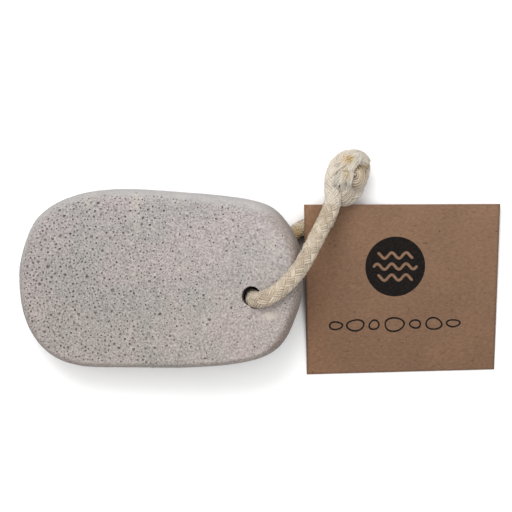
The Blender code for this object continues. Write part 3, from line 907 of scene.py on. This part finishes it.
def bore_rings(upper, lower):
    """Rings of points down the hole between the two faces' hole rings, rounded at both rims."""
    rims = [(HOLE_ROUNDING * (1 - math.sin(angle)), HOLE_ROUNDING * (1 - math.cos(angle)))
            for angle in np.linspace(0, math.pi / 2, 6)[1:]]
    depths = np.linspace(HOLE_ROUNDING, STONE_THICKNESS - HOLE_ROUNDING, 16)[1:-1]
    path = rims + [(0.0, depth) for depth in depths]
    path += [(grow, STONE_THICKNESS - depth) for grow, depth in reversed(rims)]
    across = circle(HOLE_SIDES)
    rings = []
    for grow, depth in path:
        share = depth / STONE_THICKNESS
        height = (upper[:, 2] * (1 - share) + (lower[:, 2] + STONE_THICKNESS) * share) - depth
        ring = np.column_stack([across * (BORE_DIAMETER / 2 + grow) + BORE_PLACE, height])
        ring[:, :2] += across * drift(ring, 0.0, BORE_DRIFT)[:, None]
        rings.append(ring)
    return rings


def build_stone(material):
    """The bar: both halves joined at the seam and down the hole, leaned on the rope and pressed by it."""
    (upper, upper_faces, upper_values), (lower, lower_faces, lower_values) = stone_half(1), stone_half(-1)
    hole = slice(RING_POINTS, RING_POINTS + HOLE_SIDES)
    rings = bore_rings(upper[hole], lower[hole])
    shift = np.arange(len(lower)) + len(upper)
    shift[:RING_POINTS] = np.arange(RING_POINTS)
    faces = upper_faces.tolist() + shift[lower_faces].tolist()
    bored = len(upper) + len(lower)
    starts = [RING_POINTS, *[bored + i * HOLE_SIDES for i in range(len(rings))], len(upper) + RING_POINTS]
    for above, below in zip(starts, starts[1:]):
        faces += [[above + i, above + j, below + j, below + i] for i, j in ring_edges(0, HOLE_SIDES)]
    points = np.vstack([upper, lower, *rings])
    # The hole's walls take a little painted shade.
    in_bore = {"pore": 0.25, "worn": 0.0, "grime": 0.0, "chalk": 0.0}
    values = {key: np.concatenate([upper_values[key], lower_values[key], [number] * (len(points) - bored)])
              for key, number in in_bore.items()}
    matrix = np.array(stone_matrix())
    points = points @ matrix[:3, :3].T + matrix[:3, 3]
    x, y, _ = points.T
    near = np.flatnonzero((x > PRESSED_X[0]) & (x < PRESSED_X[1]) & (y > PRESSED_Y))
    distance, away = rope_distance(points[near])
    push = distance < GROOVE_RADIUS
    points[near[push]] += away[push] * (GROOVE_RADIUS - distance[push])[:, None]
    used = np.unique(np.concatenate([np.ravel(face) for face in faces]))
    faces = [np.searchsorted(used, face) for face in faces]
    values = {key: numbers[used] for key, numbers in values.items()}
    piece = make_piece("pumice_bar", points[used], faces, [material], SHARP_EDGES["stone"], values)
    settle(piece, "pumice_stone")


def pumice_material():
    """Ground pumice: matt and gritty, drifting between a faintly pink and a plain grey, with painted shade in
    its pores and hole and on its right and lower edges, and painted light towards the upper right.
    """
    material, add, shader, place, pore, worn, grime, chalk = new_material(
        "ground_pumice", "pore", "worn", "grime", "chalk")
    patches = add("TexNoise", Vector=place, Scale=1 / 0.024, Detail=3.0)
    spread = add("MapRange", Value=patches, From_Min=0.38, From_Max=0.62)
    body = add("Mix", COLOUR_MIX, _0=spread, _6="#A39A98", _7="#999592")
    # Grit is 0.2 mm, and drawn at 0.7 mm so that it shows; the rubbed edge has far less of it.
    grit = add("TexNoise", Vector=place, Scale=1 / 0.0007, Detail=2.0, Roughness=0.6)
    grainy = []
    for ground, low, high in ((body, 0.66, 1.36), ("#AAA6A4", 0.9, 1.1)):
        grains = add("MapRange", Value=grit, From_Min=0.3, From_Max=0.7, To_Min=low, To_Max=high)
        grainy.append(add("Mix", COLOUR_TIMES, _0=1.0, _6=ground, _7=grains))
    # Painted shade inside the pores.
    dark = add("MapRange", Value=pore, From_Min=0.1, From_Max=0.9, To_Max=0.8)
    colour = grainy[0]
    for share, other in ((worn, grainy[1]), (chalk, "#C4BBAF"), (dark, "#4E4440")):
        colour = add("Mix", COLOUR_MIX, _0=share, _6=colour, _7=other)
    # Painted light towards the right and the top, and painted brown shade on the edge that lies by the rope.
    where = add("SeparateXYZ", Vector=place)
    # Painted light: paler towards the right, and lighter and cooler towards the top, warmer towards the
    # bottom.
    across = add("MapRange", Value=where.outputs["X"], From_Min=-0.085, From_Max=0.015,
                 To_Min=0.90, To_Max=0.98)
    upwards = add("MapRange", Value=where.outputs["Y"], From_Min=-0.03, From_Max=0.03)
    tint = add("Mix", COLOUR_MIX, _0=upwards, _6=(0.97, 0.95, 0.91, 1.0), _7=(1.03, 1.04, 1.05, 1.0))
    paler = add("Mix", COLOUR_TIMES, _0=1.0, _6=tint, _7=across)
    # The edges that face right and down take painted brown shade.
    for share, film in ((1.0, paler), (grime, (0.82, 0.75, 0.71, 1.0))):
        colour = add("Mix", COLOUR_TIMES, _0=share, _6=colour, _7=film)
    bump = add("Bump", Strength=0.5, Distance=0.00025, Height=grit)
    plug(shader, Base_Color=colour, Normal=bump, Roughness=0.95, Specular_IOR_Level=0.2)
    return material


build_stone(pumice_material())


# ==== the card tag ====

CARD_WIDTH, CARD_HEIGHT = 68.4, 59.6      # of the sheet, which its printed marks are placed on
CARD_EDGE_STEP = 1.4
CARD_GRID_STEP, CARD_GRID_INSET = 1.9, 2.2
CARD_RIM_STEPS = (0.3, 0.9)               # rows just inside its cut edges
CARD_HOLE_ROOM = 3.2                      # from the rope's centreline to the hole's edge
HOLE_RAYS, BADGE_SIDES, WAVE_POINTS, PEBBLE_SIDES = 44, 110, 46, 40
BADGE_CENTRE = (31.9, 22.0)
BADGE_RADIUS = 10.6
WAVES = [(-3.9, 6.0), (0.0, 7.6), (3.9, 6.0)]         # each (offset down, half length) in the badge
WAVE_HEIGHT, WAVE_LENGTH, WAVE_STROKE = 1.0, 5.1, 0.95
PEBBLE_ROW = 42.6
PEBBLE_GAP = 1.3
PEBBLES = [(2.5, 1.7), (3.3, 2.3), (2.1, 1.9), (3.9, 2.6), (2.3, 1.7), (3.1, 2.4), (2.6, 1.6)]
PEBBLE_STROKE = 0.62


def sheet_points(flat):
    """Places on the card's underside for points of its flat sheet, in millimetres right and down."""
    across, down = (flat / np.array([CARD_WIDTH, CARD_HEIGHT])).T[:, :, None]
    corner = {name: np.array(place) for name, place in CARD_CORNERS.items()}
    low = corner["bottom_left"] * (1 - across) + corner["bottom_right"] * across
    high = corner["top_left"] * (1 - across) + corner["top_right"] * across
    points = high * (1 - down) + low * down
    points[:, 2:] -= CARD_SAG * np.sin(math.pi * across) * (1 - down)
    return points


def card_hole():
    """The punched hole's outline on the flat sheet: as wide as the rope that comes up through it."""
    line = ROPE_LINE[(ROPE_JOINS[0] + ROPE_JOINS[1]) // 2:ROPE_JOINS[1]:4]
    left, top, _ = CARD_CORNERS["top_left"]
    flat = np.column_stack([line[:, 0] - left, top - line[:, 1]])
    lift = line[:, 2] - sheet_points(flat)[:, 2] - CARD_THICKNESS / 2
    centre = flat[np.flatnonzero(lift <= 0)[-1]]
    reach = np.arange(2.5, 9.0, 0.05)
    outline = []
    for direction in circle(HOLE_RAYS):
        ray = centre + reach[:, None] * direction
        places = sheet_points(ray) + [0, 0, CARD_THICKNESS / 2]
        clear = np.min(np.linalg.norm(places[:, None] - line[None], axis=2), axis=1) > CARD_HOLE_ROOM
        outline.append(ray[np.flatnonzero(clear)[0]])
    return np.array(outline)


def badge_shapes():
    """The badge's outline and the kraft-coloured waves left open in it."""
    disc = circle(BADGE_SIDES) * BADGE_RADIUS + BADGE_CENTRE
    waves = []
    for down, half in WAVES:
        u = np.linspace(-half, half, WAVE_POINTS)
        v = down + WAVE_HEIGHT * np.sin(2 * math.pi * u / WAVE_LENGTH)
        line = np.column_stack([u, v])
        along = unit(np.gradient(line, axis=0))
        side = np.column_stack([-along[:, 1], along[:, 0]]) * WAVE_STROKE / 2
        tips = line[[-1, 0]] + along[[-1, 0]] * [[WAVE_STROKE / 2], [-WAVE_STROKE / 2]]
        waves.append(np.vstack([line + side, tips[:1], (line - side)[::-1], tips[1:]]) + BADGE_CENTRE)
    return disc, waves


def pebble_shapes():
    """Outer and inner outlines of a row of drawn pebbles."""
    left = BADGE_CENTRE[0] - (sum(2 * half for half, _ in PEBBLES) + PEBBLE_GAP * (len(PEBBLES) - 1)) / 2
    turn = np.arange(PEBBLE_SIDES) * 2 * math.pi / PEBBLE_SIDES
    pairs = []
    for number, (half, tall) in enumerate(PEBBLES):
        bumpy = 1 + 0.05 * np.cos(2 * turn + number) + 0.04 * np.cos(3 * turn + 2.3 * number)
        pairs.append([circle(PEBBLE_SIDES) * (half - cut, tall - cut) * bumpy[:, None]
                      + (left + half, PEBBLE_ROW) for cut in (0.0, PEBBLE_STROKE)])
        left += 2 * half + PEBBLE_GAP
    return pairs


def is_inside(points, outline):
    """Whether each point is inside the closed outline."""
    x, y = points[:, 0, None], points[:, 1, None]
    (x1, y1), (x2, y2) = outline.T, np.roll(outline, -1, axis=0).T
    with np.errstate(divide="ignore", invalid="ignore"):
        crosses = ((y1 > y) != (y2 > y)) & (x < (x2 - x1) * (y - y1) / (y2 - y1) + x1)
    return crosses.sum(1) % 2 == 1


def rectangle(inset):
    """Points round the sheet's outline, moved inwards by a distance."""
    corners = np.array([(0, 0), (CARD_WIDTH, 0), (CARD_WIDTH, CARD_HEIGHT), (0, CARD_HEIGHT)], dtype=float)
    corners += inset * np.array([(1, 1), (-1, 1), (-1, -1), (1, -1)])
    sides = []
    for start, end in zip(corners, np.roll(corners, -1, axis=0)):
        count = round(np.linalg.norm(end - start) / CARD_EDGE_STEP)
        sides.append(start + (end - start) * (np.arange(count) / count)[:, None])
    return np.vstack(sides)


def card_shade(flat):
    """How much painted shade the card's cut edges take, 0 to 1: most along the left edge."""
    u, v = flat.T
    left, right, bottom = (np.clip(1 - near / CARD_RIM_STEPS[-1], 0, 1)
                           for near in (u, CARD_WIDTH - u, CARD_HEIGHT - v))
    left = left * (0.35 + 0.65 * ramp(v, 22, 8) * ramp(-v, -56, 10))
    return np.maximum.reduce([left, right * 0.4, bottom * 0.3])


def build_card(*materials):
    """The tag: one flat sheet of triangles, printed and punched, set in its place with its thickness."""
    hole, (disc, waves), pebbles = card_hole(), badge_shapes(), pebble_shapes()
    rings = [rectangle(0.0), hole, *[rectangle(inset) for inset in CARD_RIM_STEPS], disc, *waves]
    rings += [ring for pair in pebbles for ring in pair]
    edges, total = [], 0
    for ring in rings:
        edges += ring_edges(total, len(ring))
        total += len(ring)
    u, v = np.meshgrid(*[np.arange(CARD_GRID_INSET, size - CARD_EDGE_STEP, CARD_GRID_STEP)
                         for size in (CARD_WIDTH, CARD_HEIGHT)])
    grid = np.column_stack([u.ravel(), v.ravel()])
    fixed = np.vstack(rings)
    clear = np.min(np.linalg.norm(grid[:, None] - fixed[None], axis=2), axis=1) > 0.5
    found = triangulate(np.vstack([fixed, grid[clear & ~is_inside(grid, hole)]]), edges)
    flat = np.array([tuple(place) for place in found[0]])
    faces = np.array([list(face) for face in found[2]])
    faces = faces[~is_inside(flat[faces].mean(1), hole)]
    middle = flat[faces].mean(1)
    ink = is_inside(middle, disc) & ~np.any([is_inside(middle, wave) for wave in waves], axis=0)
    ink |= np.any([is_inside(middle, outer) & ~is_inside(middle, inner) for outer, inner in pebbles], axis=0)
    count = len(flat)
    under = sheet_points(flat)
    points = np.vstack([under + [0, 0, CARD_THICKNESS], under])
    facing = np.cross(points[faces[:, 1]] - points[faces[:, 0]], points[faces[:, 2]] - points[faces[:, 0]])
    faces = np.where(facing[:, 2:] > 0, faces, faces[:, ::-1])
    all_faces = faces.tolist() + (faces[:, ::-1] + count).tolist()
    pairs = np.vstack([faces[:, [0, 1]], faces[:, [1, 2]], faces[:, [2, 0]]])
    known = {tuple(pair) for pair in pairs.tolist()}
    all_faces += [[b, a, a + count, b + count] for a, b in sorted(known) if (b, a) not in known]
    slots = ink.astype(int).tolist() + [0] * (len(all_faces) - len(faces))
    piece = make_piece("kraft_card_tag", points, all_faces, materials, SHARP_EDGES["card"],
                       {"shade": np.tile(card_shade(flat), 2)}, slots)
    settle(piece, "card_tag")


def kraft_material():
    """Uncoated kraft board: matt brown pulp, with paler and darker fibres both ways and a few specks; painted
    light towards the top and the left edge, and painted shade on its cut edges.
    """
    material, add, shader, place, shade = new_material("uncoated_kraft_board", "shade")
    where = add("SeparateXYZ", Vector=place)
    cloud = add("TexNoise", Vector=place, Scale=1 / 0.02, Detail=2.0)
    clouds = add("MapRange", Value=cloud, From_Min=0.35, From_Max=0.65)
    pair = [add("Mix", COLOUR_MIX, _0=clouds, _6=first, _7=second)
            for first, second in (("#745844", "#6E5441"), ("#7F624D", "#785D49"))]
    # Painted light: the card is lighter towards the top, and lighter still near its left edge.
    painted_light_upwards = add("MapRange", Value=where.outputs["Y"], From_Min=-0.03, From_Max=0.03)
    colour = add("Mix", COLOUR_MIX, _0=painted_light_upwards, _6=pair[0], _7=pair[1])
    painted_light_left = add("MapRange", Value=where.outputs["X"], From_Min=0.016, From_Max=0.03,
                  To_Min=1.0, To_Max=0.0)
    colour = add("Mix", COLOUR_TIMES, _0=painted_light_left, _6=colour, _7=(1.24, 1.19, 1.13, 1.0))
    lays = []
    # Bundles of fibres are over 1 mm long and half as wide, in two lays.
    for turn in (35, 128):
        lain = add("Mapping", Vector=place, Rotation=(0, 0, math.radians(turn)),
                   Scale=(1 / 0.0013, 1 / 0.0007, 1 / 0.0007))
        fibre = add("TexNoise", Vector=lain, Scale=1.0, Detail=3.0, Roughness=0.65)
        amount = add("MapRange", Value=fibre, From_Min=0.3, From_Max=0.7, To_Min=0.87, To_Max=1.13)
        colour = add("Mix", COLOUR_TIMES, _0=1.0, _6=colour, _7=amount)
        lays.append(fibre)
    speck = add("TexNoise", Vector=place, Scale=1 / 0.0011, Detail=1.0)
    specks = add("MapRange", Value=speck, From_Min=0.70, From_Max=0.78, To_Max=0.7)
    # The cut edges' dark colour is painted shade; the specks are the board's own.
    for share, stain_and_shade in ((specks, "#4A3426"), (shade, "#2C241F")):
        colour = add("Mix", COLOUR_MIX, _0=share, _6=colour, _7=stain_and_shade)
    height = add("Math", {"operation": "ADD"}, _0=lays[0], _1=lays[1])
    bump = add("Bump", Strength=0.35, Distance=0.0001, Height=height)
    plug(shader, Base_Color=colour, Normal=bump, Roughness=0.85, Specular_IOR_Level=0.25)
    return material


def ink_material():
    """Black offset ink soaked into kraft: nearly black, matt, with a few paler fibres showing through."""
    material, add, shader, place = new_material("black_offset_ink")
    fibre = add("TexNoise", Vector=place, Scale=1 / 0.0008, Detail=3.0)
    amount = add("MapRange", Value=fibre, From_Min=0.45, From_Max=0.8)
    ink = add("Mix", COLOUR_MIX, _0=amount, _6="#0F0C0B", _7="#241C17")
    bump = add("Bump", Strength=0.25, Distance=0.0001, Height=fibre)
    plug(shader, Base_Color=ink, Normal=bump, Roughness=0.75, Specular_IOR_Level=0.12)
    return material


build_card(kraft_material(), ink_material())


# ==== floor and light ====

FLOOR_REACH = 2.0             # metres
LIGHTS = [                    # name, place, diameter and watts
    ("key_light", (-0.22, 0.60, 0.95), 0.6, 6.2),
    ("overhead_light", (-0.1, 0.1, 1.30), 1.5, 13.0),
]
ROOM_LIGHT = 0.4


def add_floor():
    """White paper: matt, evenly bright and glowing faintly; painted shade darkens it in the deep gaps between
    the pieces.
    """
    material, add, shader, _ = new_material("white_paper_sweep")
    # Painted shade where the floor is closed in.
    nook = add("AmbientOcclusion", {"samples": 16}, Distance=0.03)
    open_air = add("MapRange", Value=nook.outputs["AO"], From_Min=0.12, From_Max=0.36)
    paper = add("Mix", COLOUR_MIX, _0=open_air, _6="#8A7E7A", _7="#F4F4F4")
    glow = add("Math", {"operation": "MULTIPLY"}, _0=open_air, _1=0.1)
    plug(shader, Base_Color=paper, Roughness=0.9, Emission_Color="#FFFFFF", Emission_Strength=glow)
    mesh = bpy.data.meshes.new("floor")
    corners = [(x * FLOOR_REACH, y * FLOOR_REACH, 0) for x, y in ((-1, -1), (1, -1), (1, 1), (-1, 1))]
    mesh.from_pydata(corners, [], [range(4)])
    mesh.materials.append(material)
    seen("floor", mesh)


def add_light(name, place, diameter, watts):
    """A round white lamp that faces the part."""
    lamp = bpy.data.lights.new(name, "AREA")
    lamp.shape = "DISK"
    lamp.size = diameter
    lamp.energy = watts
    holder = seen(name, lamp)
    holder.location = place
    holder.rotation_euler = Vector(place).to_track_quat("Z", "Y").to_euler()


add_floor()
for light in LIGHTS:
    add_light(*light)

world = bpy.data.worlds.new("soft_room")
bpy.context.scene.world = world
world.use_nodes = True
world.node_tree.nodes["Background"].inputs["Color"].default_value = (1.0, 1.0, 1.0, 1.0)
world.node_tree.nodes["Background"].inputs["Strength"].default_value = ROOM_LIGHT
bpy.context.scene.view_settings.view_transform = "Standard"
